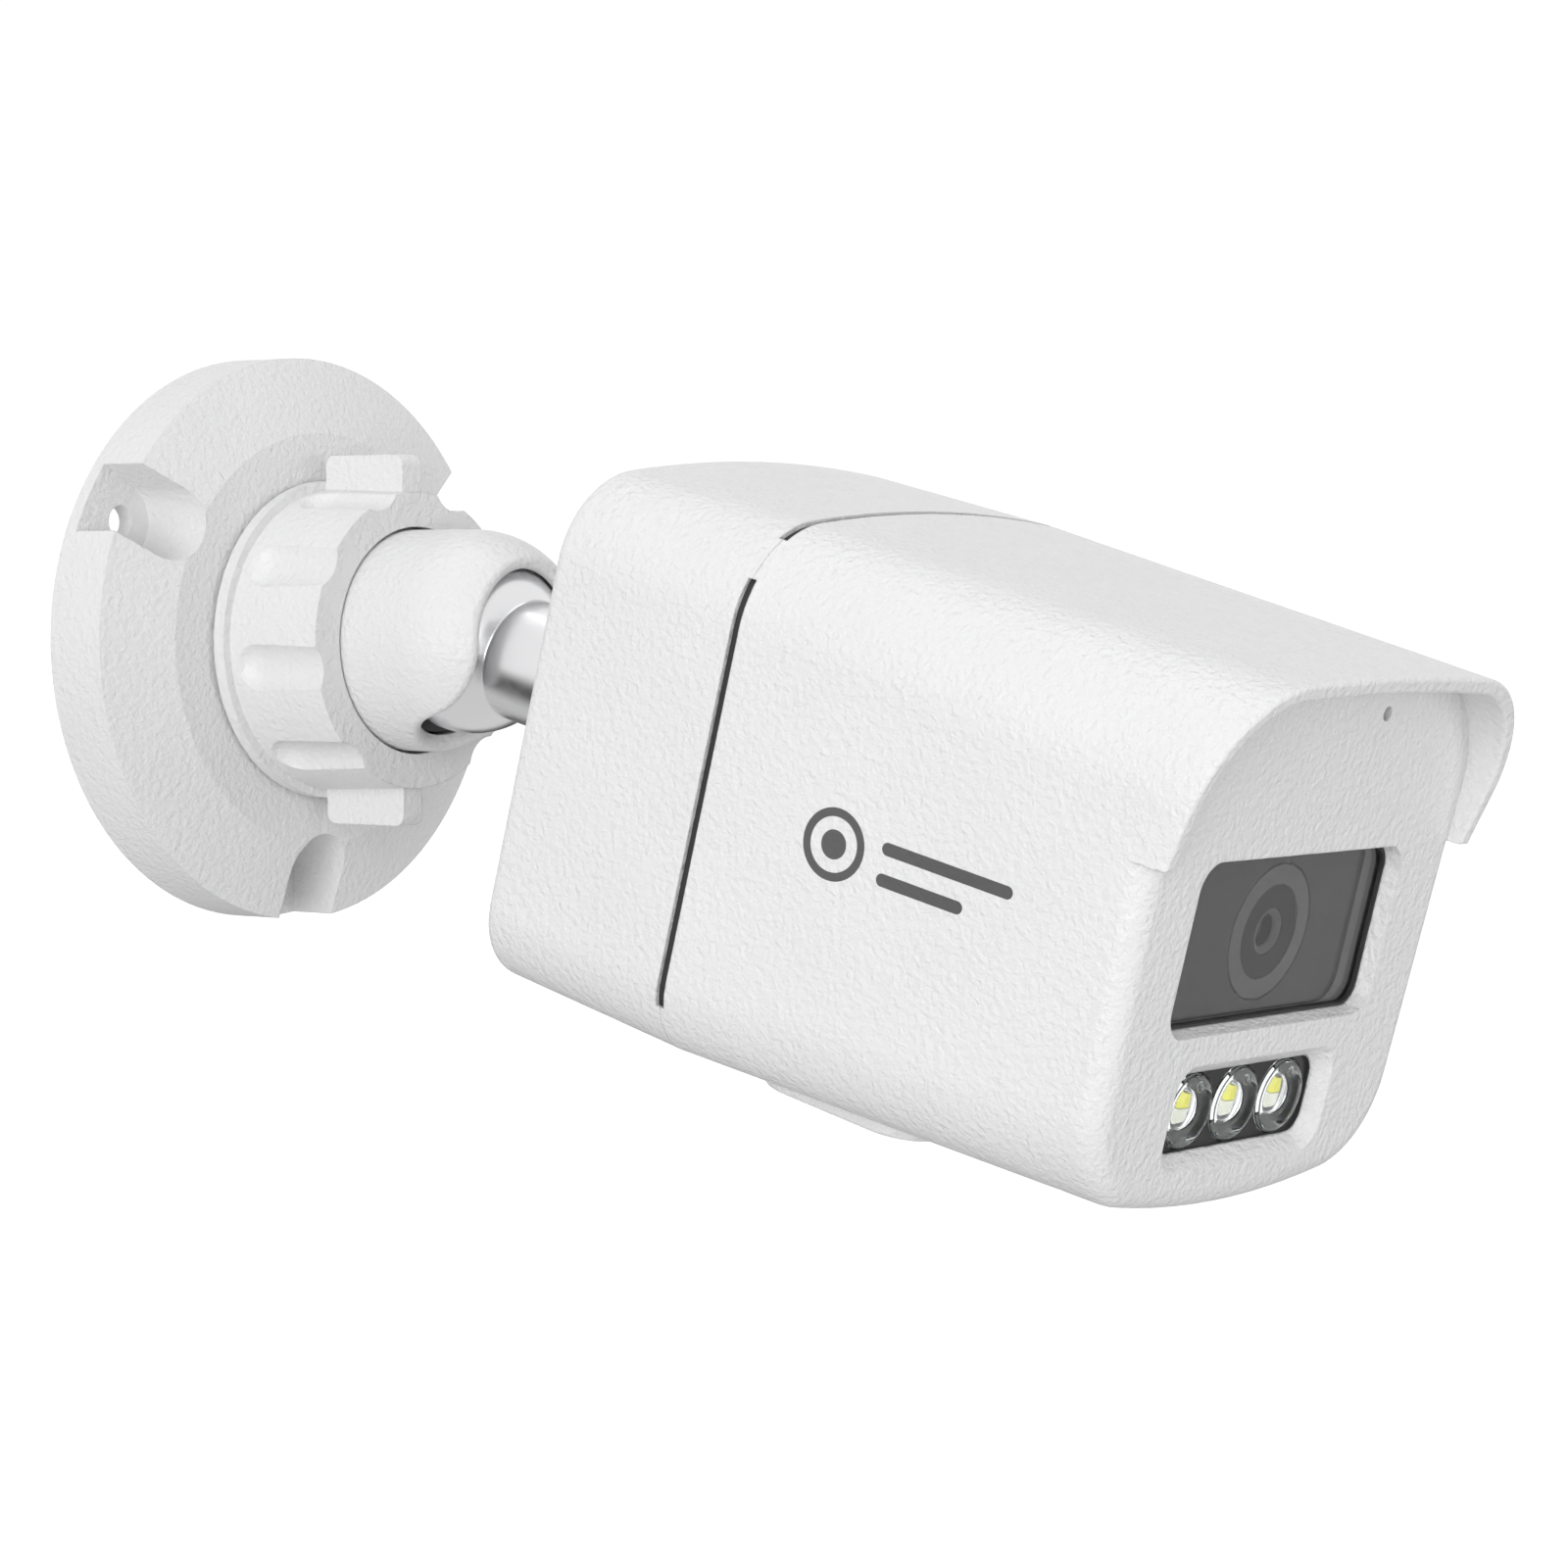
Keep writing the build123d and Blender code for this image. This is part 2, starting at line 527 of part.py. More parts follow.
with BuildPart() as cover_screws:
    rod(head_seat, COVER_HEAD_THICK - FIT, COVER_HEAD, cover_screw_spots)
    shank_start = COVER_FLOOR - COVER_BOSS
    rod(below(shank_start), COVER_SKIN - COVER_HEAD_THICK - shank_start, COVER_PILOT, cover_screw_spots)
    slot_floor = below(COVER_SKIN - FIT - COVER_DRIVE)
    for cross in ((2 * COVER_HEAD, COVER_DRIVE), (COVER_DRIVE, 2 * COVER_HEAD)):
        slab(slot_floor, COVER_DRIVE, *cross, cover_screw_spots, mode=Mode.SUBTRACT)
save(cover_screws, "cover_screws")

# ================================================================ camera window and lens
GLASS_BACK = 124.1
GLASS_THICK = 0.8
GLASS_BORDER = 1.0           # how far the glass reaches behind the wall, past the recess floor
LINER = 0.3                  # black edge of the gasket that shows inside the opening
MASK_THICK = 1.0
RING_GAP = 0.3               # dark line round the lens ring

glass_size = recess_plan(WINDOW, WINDOW_SLOPE - GLASS_BORDER)
frame_size = recess_plan(WINDOW, WINDOW_SLOPE - 2 * GLASS_BORDER)
clear_size = recess_plan(WINDOW, WINDOW_SLOPE + LINER)
wall_inside = FACE - FACE_WALL

with BuildPart() as window_gasket:
    frame_back = GLASS_BACK - MASK_THICK
    slab(CAMERA.offset(frame_back), wall_inside - frame_back, *frame_size[:2], [frame_size[2]], SKIN_CORNER)
    slab(CAMERA.offset(frame_back), GLASS_BACK + GLASS_THICK - frame_back, *glass_size[:2], [glass_size[2]],
         FLOOR_CORNER, Mode.SUBTRACT)
    slab(CAMERA.offset(frame_back), wall_inside, *clear_size[:2], [clear_size[2]], FLOOR_CORNER,
         Mode.SUBTRACT)
save(window_gasket, "window_gasket")

with BuildPart() as window_glass:
    slab(CAMERA.offset(GLASS_BACK), GLASS_THICK, *glass_size[:2], [glass_size[2]], FLOOR_CORNER)
save(window_glass, "window_glass")

with BuildPart() as window_mask:
    slab(CAMERA.offset(GLASS_BACK - MASK_THICK), MASK_THICK - RUNNING, *glass_size[:2], [glass_size[2]],
         FLOOR_CORNER)
    rod(CAMERA.offset(GLASS_BACK - MASK_THICK), MASK_THICK, LENS_RING + RING_GAP, mode=Mode.SUBTRACT)
save(window_mask, "window_mask")

SHIELD_BACK = 117.4
LENS_FRONT = 123.9
LENS_SHOULDER = 117.0
LENS_REAR = 109.4
LENS_THREAD = 6.0
LENS_POCKET = 4.4
LENS_MOUTH = 2.8
LENS_IRIS = 1.9
LENS_CHAMFER = 0.8
LENS_LIP = 1.2
GLASS_SEATS = {"front_lens": (120.2, 122.7, 4.3, 9.0), "middle_lens": (115.4, 117.2, 4.3, -14.0),
               "rear_lens": (110.2, 112.4, 4.3, 8.0)}

with BuildPart() as light_shield:
    rod(CAMERA.offset(SHIELD_BACK), GLASS_BACK - SHIELD_BACK - RUNNING, LENS_RING)
    rod(CAMERA.offset(SHIELD_BACK), GLASS_BACK - SHIELD_BACK, LENS_FACE + FIT, mode=Mode.SUBTRACT)
save(light_shield, "light_shield")

with BuildPart() as lens_barrel:
    turned(CAMERA_PROFILE, LENS, [
        (LENS_POCKET, LENS_REAR), (LENS_THREAD, LENS_REAR), (LENS_THREAD, LENS_SHOULDER),
        (LENS_FACE, LENS_SHOULDER), (LENS_FACE, LENS_FRONT), (LENS_MOUTH, LENS_FRONT),
        (LENS_IRIS, LENS_FRONT - LENS_CHAMFER), (LENS_IRIS, LENS_FRONT - LENS_LIP),
        (LENS_POCKET, LENS_FRONT - LENS_LIP),
    ])
save(lens_barrel, "lens_barrel")

for element, (back, front, radius, curve) in GLASS_SEATS.items():
    with BuildPart() as lens_element:
        rod(CAMERA.offset(back), front - back, radius)
        # One spherical face, domed forward or hollowed
        depth = abs(curve) - sqrt(curve ** 2 - radius ** 2)
        crown = front - curve if curve > 0 else front - depth - curve
        with Locations(CAMERA.offset(crown)):
            Sphere(abs(curve), mode=Mode.INTERSECT if curve > 0 else Mode.SUBTRACT)
    save(lens_element, element)

# ---------------------------------------------------------------- lens holder and infrared filter slide
BOARD = 1.6
SENSOR_BOARD_BACK = 102.4
holder_back = SENSOR_BOARD_BACK + BOARD
HOLDER_SIZE = (27.0, 16.0)
HOLDER_DEEP = 6.6
HOLDER_CORNER = 1.0
HOLDER_ROOM = (24.0, 10.4)
HOLDER_ROOM_DEEP = 5.0
HOLDER_TUBE = 8.4
HOLDER_TUBE_END = 116.0
SLIDE_SIZE = (15.6, 9.8)
SLIDE_THICK = 1.0
SLIDE_CORNER = 0.8
SLIDE_BACK = 106.6
SLIDE_SHIFT = 3.7            # from the lens axis to the slide's centre, and to each filter
FILTER_SIZE = (6.4, 7.6)
FILTER_THICK = 0.5

with BuildPart() as lens_holder:
    slab(CAMERA.offset(holder_back), HOLDER_DEEP, *HOLDER_SIZE, corner=HOLDER_CORNER)
    rod(CAMERA.offset(holder_back), HOLDER_TUBE_END - holder_back, HOLDER_TUBE)
    slab(CAMERA.offset(holder_back), HOLDER_ROOM_DEEP, *HOLDER_ROOM, mode=Mode.SUBTRACT)
    rod(CAMERA.offset(holder_back), HOLDER_TUBE_END - holder_back, LENS_THREAD + RUNNING, mode=Mode.SUBTRACT)
save(lens_holder, "lens_holder")

filter_spots = {"infrared_filter": 0.0, "clear_filter": -2 * SLIDE_SHIFT}
slide_centre = (-SLIDE_SHIFT, 0)

with BuildPart() as filter_slide:
    slab(CAMERA.offset(SLIDE_BACK), SLIDE_THICK, *SLIDE_SIZE, [slide_centre], SLIDE_CORNER)
    windows = [(x, 0) for x in filter_spots.values()]
    slab(CAMERA.offset(SLIDE_BACK), SLIDE_THICK, *FILTER_SIZE, windows, mode=Mode.SUBTRACT)
save(filter_slide, "filter_slide")

for pane, x in filter_spots.items():
    with BuildPart() as filter_pane:
        slab(CAMERA.offset(SLIDE_BACK + FILTER_THICK / 2), FILTER_THICK, *FILTER_SIZE, [(x, 0)])
    save(filter_pane, pane)

ACTUATOR_SIZE = (5.0, 7.0)

with BuildPart() as filter_actuator:
    actuator_centre = ((HOLDER_SIZE[0] + ACTUATOR_SIZE[0]) / 2, 0)
    slab(CAMERA.offset(holder_back), HOLDER_DEEP, *ACTUATOR_SIZE, [actuator_centre], 0.5)
save(filter_actuator, "filter_actuator")

# ---------------------------------------------------------------- inner bracket and its screws
BRACKET_BACK = 112.0
BRACKET_SIZE = (57.0, 24.0)
BRACKET_HOLE = 8.8
LEG = 2.2
LEG_PILOT = 1.1
leg_spots = [(x, y) for x in (-17.5, 17.5) for y in (-8.5, 8.5)]
SMALL_HEAD = 2.0
SMALL_HEAD_THICK = 1.4
STUD = 4.0                   # thread engagement of the small screws

with BuildPart() as inner_bracket:
    slab(CAMERA.offset(BRACKET_BACK), POST_END - BRACKET_BACK, *BRACKET_SIZE, corner=3)
    rod(CAMERA.offset(holder_back), POST_END - holder_back, LEG, leg_spots)
    rod(CAMERA.offset(holder_back), BRACKET_BACK - holder_back, LEG_PILOT, leg_spots, mode=Mode.SUBTRACT)
    rod(CAMERA.offset(BRACKET_BACK), POST_END, BRACKET_HOLE, mode=Mode.SUBTRACT)
    rod(CAMERA.offset(BRACKET_BACK), POST_END, POST_PILOT + FIT, post_spots, mode=Mode.SUBTRACT)
save(inner_bracket, "inner_bracket")


def small_screws(head_plane_station, length, radius, spots):
    """Pan-head screws whose heads sit behind a station and whose shanks run forward of it."""
    rod(CAMERA.offset(head_plane_station - SMALL_HEAD_THICK), SMALL_HEAD_THICK, SMALL_HEAD, spots)
    rod(CAMERA.offset(head_plane_station), length, radius, spots)
    for spot in spots:
        with BuildSketch(CAMERA.offset(head_plane_station - SMALL_HEAD_THICK)) as drive:
            with Locations(spot):
                RegularPolygon(SMALL_HEAD / 2, 6)
        extrude(drive.sketch, amount=SMALL_HEAD_THICK / 2, mode=Mode.SUBTRACT)


with BuildPart() as bracket_screws:
    small_screws(BRACKET_BACK, 2 * STUD, POST_PILOT, post_spots)
save(bracket_screws, "bracket_screws")

# ================================================================ boards
MAIN_BOARD_BACK = 84.0
MAIN_BOARD_SIZE = (48.0, 46.0)
MAIN_BOARD_CENTRE = (0, -2.0)
BOARD_CORNER = 1.5
SENSOR_BOARD_SIZE = (42.0, 34.0)
SENSOR_BOARD_CENTRE = (0, 4.0)
main_board_front = MAIN_BOARD_BACK + BOARD

with BuildPart() as sensor_board:
    slab(CAMERA.offset(SENSOR_BOARD_BACK), BOARD, *SENSOR_BOARD_SIZE, [SENSOR_BOARD_CENTRE], BOARD_CORNER)
    rod(CAMERA.offset(SENSOR_BOARD_BACK), BOARD, LEG_PILOT, leg_spots, mode=Mode.SUBTRACT)
save(sensor_board, "sensor_board")

# Components: width, height and thickness, and where the centre sits on the board
SENSOR = (9.0, 8.0, 1.1)
PROCESSOR = (13.0, 13.0, 1.3)
PROCESSOR_SPOT = (0, 2.0)
CAN = (17.0, 15.0, 3.0)
CAN_SPOT = (0, 3.0)
CAN_WALL = 0.3
TRANSFORMER = (15.0, 9.0, 6.0)
TRANSFORMER_SPOT = (-10.0, -16.0)
CAPACITOR_RADIUS = 3.15
CAPACITOR_TALL = 8.0
CAPACITOR_SPOTS = [(8.0, -16.0), (15.5, -16.0)]
HEADER = (16.0, 5.5, 6.0)
HEADER_SPOT = (0, 15.5)
HEADER_WALL = 0.7
CHAMFER = 0.4                # small corner radius of the moulded components

with BuildPart() as image_sensor:
    slab(CAMERA.offset(holder_back), SENSOR[2], *SENSOR[:2], corner=CHAMFER)
save(image_sensor, "image_sensor")

with BuildPart() as board_spacers:
    with BuildSketch(CAMERA.offset(main_board_front)) as hexagons:
        with Locations(*leg_spots):
            RegularPolygon(LEG, 6, major_radius=False)
    extrude(hexagons.sketch, amount=SENSOR_BOARD_BACK - main_board_front)
    rod(CAMERA.offset(SENSOR_BOARD_BACK), BOARD + STUD, LEG_PILOT, leg_spots)
    rod(CAMERA.offset(main_board_front), STUD, LEG_PILOT, leg_spots, mode=Mode.SUBTRACT)
save(board_spacers, "board_spacers")

with BuildPart() as main_board:
    slab(CAMERA.offset(MAIN_BOARD_BACK), BOARD, *MAIN_BOARD_SIZE, [MAIN_BOARD_CENTRE], BOARD_CORNER)
    rod(CAMERA.offset(MAIN_BOARD_BACK), BOARD, LEG_PILOT, leg_spots, mode=Mode.SUBTRACT)
save(main_board, "main_board")

with BuildPart() as board_screws:
    small_screws(MAIN_BOARD_BACK, BOARD + STUD - FIT, LEG_PILOT, leg_spots)
save(board_screws, "board_screws")

with BuildPart() as processor:
    slab(CAMERA.offset(MAIN_BOARD_BACK - PROCESSOR[2]), PROCESSOR[2], *PROCESSOR[:2], [PROCESSOR_SPOT],
         CHAMFER)
save(processor, "processor")

with BuildPart() as shield_can:
    slab(CAMERA.offset(main_board_front), CAN[2], *CAN[:2], [CAN_SPOT], CHAMFER + CAN_WALL)
    can_room = [size - 2 * CAN_WALL for size in CAN[:2]]
    slab(CAMERA.offset(main_board_front), CAN[2] - CAN_WALL, *can_room, [CAN_SPOT], CHAMFER, Mode.SUBTRACT)
save(shield_can, "shield_can")

with BuildPart() as network_transformer:
    slab(CAMERA.offset(MAIN_BOARD_BACK - TRANSFORMER[2]), TRANSFORMER[2], *TRANSFORMER[:2],
         [TRANSFORMER_SPOT], CHAMFER)
save(network_transformer, "network_transformer")

with BuildPart() as capacitors:
    rod(CAMERA.offset(MAIN_BOARD_BACK - CAPACITOR_TALL), CAPACITOR_TALL, CAPACITOR_RADIUS, CAPACITOR_SPOTS)
save(capacitors, "capacitors")

with BuildPart() as cable_header:
    header_end = CAMERA.offset(MAIN_BOARD_BACK - HEADER[2])
    header_room = [size - 2 * HEADER_WALL for size in HEADER]
    slab(header_end, HEADER[2], *HEADER[:2], [HEADER_SPOT])
    slab(header_end, header_room[2], *header_room[:2], [HEADER_SPOT], mode=Mode.SUBTRACT)
save(cable_header, "cable_header")

RIBBON_HEIGHT = 17.0
RIBBON_WIDTH = 11.0
RIBBON_THICK = 0.25
RIBBON_RISE = 2.0
CONNECTOR = (13.0, 2.6, 2.4)    # width, height, depth

with BuildPart() as ribbon_connectors:
    for board_face in (main_board_front, SENSOR_BOARD_BACK - CONNECTOR[2]):
        slab(CAMERA.offset(board_face), CONNECTOR[2], *CONNECTOR[:2], [(0, RIBBON_HEIGHT)])
save(ribbon_connectors, "ribbon_connectors")

with BuildPart() as ribbon_cable:
    start = main_board_front + CONNECTOR[2] + RIBBON_THICK
    end = SENSOR_BOARD_BACK - CONNECTOR[2] - RIBBON_THICK
    with BuildSketch(CAMERA_SIDE) as strip:
        with BuildLine():
            lower = ThreePointArc((start, RIBBON_HEIGHT), ((start + end) / 2, RIBBON_HEIGHT + RIBBON_RISE),
                                  (end, RIBBON_HEIGHT))
            offset(lower, amount=RIBBON_THICK, side=Side.LEFT)
        make_face()
    extrude(strip.sketch, amount=RIBBON_WIDTH / 2, both=True)
save(ribbon_cable, "ribbon_cable")

# ---------------------------------------------------------------- card socket and reset button
SOCKET_CENTRE = (-2.6, -19.0)
SOCKET_SIZE = (14.0, 15.0)
SOCKET_THICK = 1.9
CARD_SLOT = (11.4, 13.0, 0.9)
SWITCH_CENTRE = (12.0, -20.0)
SWITCH_SIZE = (6.0, 6.0)
SWITCH_THICK = 3.6
BUTTON_RADIUS = 1.4
BUTTON_LENGTH = 4.4
BUTTON_TRAVEL = 0.4
BUTTON_SEAT = 2.0

with BuildPart() as card_socket:
    slab(CAMERA.offset(main_board_front), SOCKET_THICK, *SOCKET_SIZE, [SOCKET_CENTRE], CHAMFER)
    slot_centre = (SOCKET_CENTRE[0], SOCKET_CENTRE[1] - (SOCKET_SIZE[1] - CARD_SLOT[1]) / 2)
    slab(CAMERA.offset(main_board_front + (SOCKET_THICK - CARD_SLOT[2]) / 2), CARD_SLOT[2], *CARD_SLOT[:2],
         [slot_centre], mode=Mode.SUBTRACT)
save(card_socket, "card_socket")

button_station = main_board_front + SWITCH_THICK / 2
switch_foot = -SWITCH_CENTRE[1] + SWITCH_SIZE[1] / 2
button_room = BUTTON_TRAVEL + BUTTON_SEAT

with BuildPart() as reset_switch:
    slab(CAMERA.offset(main_board_front), SWITCH_THICK, *SWITCH_SIZE, [SWITCH_CENTRE], CHAMFER)
    rod(below(switch_foot - button_room), button_room, BUTTON_RADIUS + RUNNING,
        [(SWITCH_CENTRE[0], button_station)], mode=Mode.SUBTRACT)
save(reset_switch, "reset_switch")

with BuildPart() as reset_button:
    rod(below(switch_foot - button_room + BUTTON_TRAVEL + FIT), BUTTON_LENGTH, BUTTON_RADIUS,
        [(SWITCH_CENTRE[0], button_station)])
save(reset_button, "reset_button")

# ================================================================ lights
OPTIC_SEAT = 124.9
OPTIC_FLANGE = 0.6
OPTIC_CROWN = 0.9
OPTIC_CONE = (4.1, 3.4, 123.0)   # front radius, back radius, back station
OPTIC_POCKET = (2.4, 1.0)
optic_spots = [(OPTIC_PITCH * step, OPTIC_HEIGHT) for step in (-1, 0, 1)]
LED_BOARD_BACK = 121.8
LED_BOARD = 1.2
LED_BOARD_SIZE = (31.0, 12.0)
CHIP = (2.8, 1.6, 0.6)
CHIP_GAP = 0.1
led_board_centre = (0, OPTIC_HEIGHT)
optic_curve = (OPTIC_RADIUS ** 2 + OPTIC_CROWN ** 2) / (2 * OPTIC_CROWN)

led_frame = recess_plan(LED_BAY, LED_SLOPE - GLASS_BORDER)
with BuildPart() as led_mask:
    slab(CAMERA.offset(OPTIC_SEAT - MASK_THICK), wall_inside - OPTIC_SEAT + MASK_THICK, *led_frame[:2],
         [led_frame[2]], SKIN_CORNER)
    hollow_size = recess_plan(LED_BAY, LED_SLOPE)
    slab(CAMERA.offset(OPTIC_SEAT), MASK_THICK, *hollow_size[:2], [hollow_size[2]], FLOOR_CORNER,
         Mode.SUBTRACT)
    rod(CAMERA.offset(OPTIC_SEAT - MASK_THICK), MASK_THICK, OPTIC_CONE[0] + FIT, optic_spots,
        mode=Mode.SUBTRACT)
save(led_mask, "led_mask")


def optic(side_x):
    """One clear lens: a low domed front on a round flange, with a cone behind that holds the chips."""
    cone_front, cone_back, cone_end = OPTIC_CONE
    flange_end = OPTIC_SEAT + OPTIC_FLANGE
    axis = Axis(CAMERA.offset(0).from_local_coords((side_x, OPTIC_HEIGHT, 0)), forward)
    plane = Plane(origin=axis.position, x_dir=(1, 0, 0), z_dir=CAMERA_PROFILE.z_dir)
    with BuildSketch(plane) as half:
        with BuildLine():
            Polyline((0, cone_end + OPTIC_POCKET[1]), (OPTIC_POCKET[0], cone_end + OPTIC_POCKET[1]),
                     (OPTIC_POCKET[0], cone_end), (cone_back, cone_end), (cone_front, OPTIC_SEAT),
                     (OPTIC_RADIUS, OPTIC_SEAT), (OPTIC_RADIUS, flange_end))
            RadiusArc((OPTIC_RADIUS, flange_end), (0, flange_end + OPTIC_CROWN), -optic_curve)
            Line((0, flange_end + OPTIC_CROWN), (0, cone_end + OPTIC_POCKET[1]))
        make_face()
    revolve(half.sketch, axis=axis)


for number, (side_x, _) in enumerate(optic_spots, start=1):
    with BuildPart() as led_optic:
        optic(side_x)
    save(led_optic, f"led_optic_{number}")

with BuildPart() as led_board:
    slab(CAMERA.offset(LED_BOARD_BACK), LED_BOARD, *LED_BOARD_SIZE, [led_board_centre], BOARD_CORNER)
save(led_board, "led_board")

chip_plane = CAMERA.offset(LED_BOARD_BACK + LED_BOARD)
chip_rise = (CHIP[1] + CHIP_GAP) / 2
for chips, side in {"white_leds": 1, "infrared_leds": -1}.items():
    with BuildPart() as chip_row:
        slab(chip_plane, CHIP[2], *CHIP[:2], [(x, y + side * chip_rise) for x, y in optic_spots])
    save(chip_row, chips)

HEAT_PLATE = 2.0
FIN_PITCH = 4.0
FIN_WIDTH = 1.2
FIN_DEEP = 7.0
HEAT_SINK_SIZE = (28.0, 10.5)
HEAT_SINK_DROP = 0.6

with BuildPart() as heat_sink:
    heat_back = LED_BOARD_BACK - HEAT_PLATE
    heat_centre = (0, OPTIC_HEIGHT - HEAT_SINK_DROP)
    slab(CAMERA.offset(heat_back), HEAT_PLATE, *HEAT_SINK_SIZE, [heat_centre])
    fin_spots = [(FIN_PITCH * step, heat_centre[1]) for step in range(-3, 4)]
    slab(CAMERA.offset(heat_back - FIN_DEEP), FIN_DEEP, FIN_WIDTH, HEAT_SINK_SIZE[1], fin_spots)
save(heat_sink, "heat_sink")

# ---------------------------------------------------------------- microphone
MIC_RADIUS = 2.4
MIC_SEAL_THICK = 1.4
MIC_THICK = 2.2

with BuildPart() as microphone_seal:
    rod(CAMERA.offset(wall_inside - MIC_SEAL_THICK), MIC_SEAL_THICK, MIC_RADIUS, [MIC_SPOT])
    rod(CAMERA.offset(wall_inside - MIC_SEAL_THICK), MIC_SEAL_THICK, MIC_HOLE, [MIC_SPOT], Mode.SUBTRACT)
save(microphone_seal, "microphone_seal")

with BuildPart() as microphone:
    rod(CAMERA.offset(wall_inside - MIC_SEAL_THICK - MIC_THICK), MIC_THICK, MIC_RADIUS, [MIC_SPOT])
save(microphone, "microphone")
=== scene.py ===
import json
from math import cos, pi, radians, sin

import bmesh
import bpy
from mathutils import Matrix, Vector
from mathutils.bvhtree import BVHTree


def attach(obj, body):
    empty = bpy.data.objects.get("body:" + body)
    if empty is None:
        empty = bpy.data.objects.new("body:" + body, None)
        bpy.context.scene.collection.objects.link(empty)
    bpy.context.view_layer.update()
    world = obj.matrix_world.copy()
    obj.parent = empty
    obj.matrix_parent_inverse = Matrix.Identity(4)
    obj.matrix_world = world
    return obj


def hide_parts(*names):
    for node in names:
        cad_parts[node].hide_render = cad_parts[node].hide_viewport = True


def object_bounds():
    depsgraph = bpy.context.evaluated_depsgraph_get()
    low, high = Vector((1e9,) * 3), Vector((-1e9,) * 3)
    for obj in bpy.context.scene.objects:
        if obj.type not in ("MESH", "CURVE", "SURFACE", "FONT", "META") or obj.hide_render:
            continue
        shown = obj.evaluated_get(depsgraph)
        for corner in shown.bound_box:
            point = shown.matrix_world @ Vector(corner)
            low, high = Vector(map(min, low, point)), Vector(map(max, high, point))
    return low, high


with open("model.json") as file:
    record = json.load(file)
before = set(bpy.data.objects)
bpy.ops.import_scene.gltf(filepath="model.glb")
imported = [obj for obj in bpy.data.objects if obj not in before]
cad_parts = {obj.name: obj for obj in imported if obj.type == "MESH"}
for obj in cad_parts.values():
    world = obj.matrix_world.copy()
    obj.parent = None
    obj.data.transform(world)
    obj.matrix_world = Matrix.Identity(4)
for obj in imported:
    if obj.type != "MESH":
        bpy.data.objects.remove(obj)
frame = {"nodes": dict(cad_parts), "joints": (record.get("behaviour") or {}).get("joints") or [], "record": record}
cad_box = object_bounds()
nodes = frame["nodes"]
record = frame["record"]

# The camera body's own frame: x across, y up and z forward along the lens axis, from the ball centre
spin = next(joint for joint in frame["joints"] if joint["name"] == "camera_spin")
ball_centre = Vector(spin["pos_m"])
forward = Vector(spin["axis"]).normalized()
across = Vector((1, 0, 0))
upward = forward.cross(across)
body_frame = Matrix.Translation(ball_centre) @ Matrix((across, upward, forward)).transposed().to_4x4()
MM = 0.001


# ---------------------------------------------------------------- places
def span(name):
    """Lowest and highest corner of a CAD node in the camera body's own frame."""
    inverse = body_frame.inverted()
    points = [inverse @ v.co for v in nodes[name].data.vertices]
    low = Vector(min(p[i] for p in points) for i in range(3))
    high = Vector(max(p[i] for p in points) for i in range(3))
    return low, high


# ---------------------------------------------------------------- materials
PATCH_DETAIL = 3.0             # noise detail of the colour patches
ROUGH_FINENESS = 7             # how much finer the roughness varies than the colour does
ROUGH_SPREAD = (0.88, 1.12)    # lowest and highest share of a material's roughness
GRAIN_SWIRL = 0.3              # distortion of the grain
BEVEL_SAMPLES = 6
NO_GRAIN = ((40, 0.0),)


def add_node(tree, kind, inputs=None, **settings):
    """Adds a node, sets its properties and the default values or links of its inputs."""
    node = tree.nodes.new(kind)
    for key, value in settings.items():
        setattr(node, key, value)
    for key, value in (inputs or {}).items():
        if isinstance(value, bpy.types.NodeSocket):
            tree.links.new(value, node.inputs[key])
        else:
            node.inputs[key].default_value = value
    return node


def noise(tree, coords, scale, detail=2.0, distortion=0.0):
    inputs = {"Vector": coords, "Scale": scale, "Detail": detail, "Distortion": distortion}
    return add_node(tree, "ShaderNodeTexNoise", inputs).outputs["Fac"]


def remap(tree, value, low, high, start=0.3, end=0.7):
    """Maps a noise value onto a range."""
    inputs = {"Value": value, "From Min": start, "From Max": end, "To Min": low, "To Max": high}
    return add_node(tree, "ShaderNodeMapRange", inputs).outputs["Result"]


def math_node(tree, operation, a, b):
    node = add_node(tree, "ShaderNodeMath", operation=operation)
    for socket, value in zip(node.inputs, (a, b)):
        if isinstance(value, bpy.types.NodeSocket):
            tree.links.new(value, socket)
        else:
            socket.default_value = value
    return node.outputs["Value"]


def blend_colours(tree, factor, dark, light):
    mix = add_node(tree, "ShaderNodeMix", data_type="RGBA")
    tree.links.new(factor, mix.inputs["Factor"])
    mix.inputs["A"].default_value = (*dark, 1)
    mix.inputs["B"].default_value = (*light, 1)
    return mix.outputs["Result"]


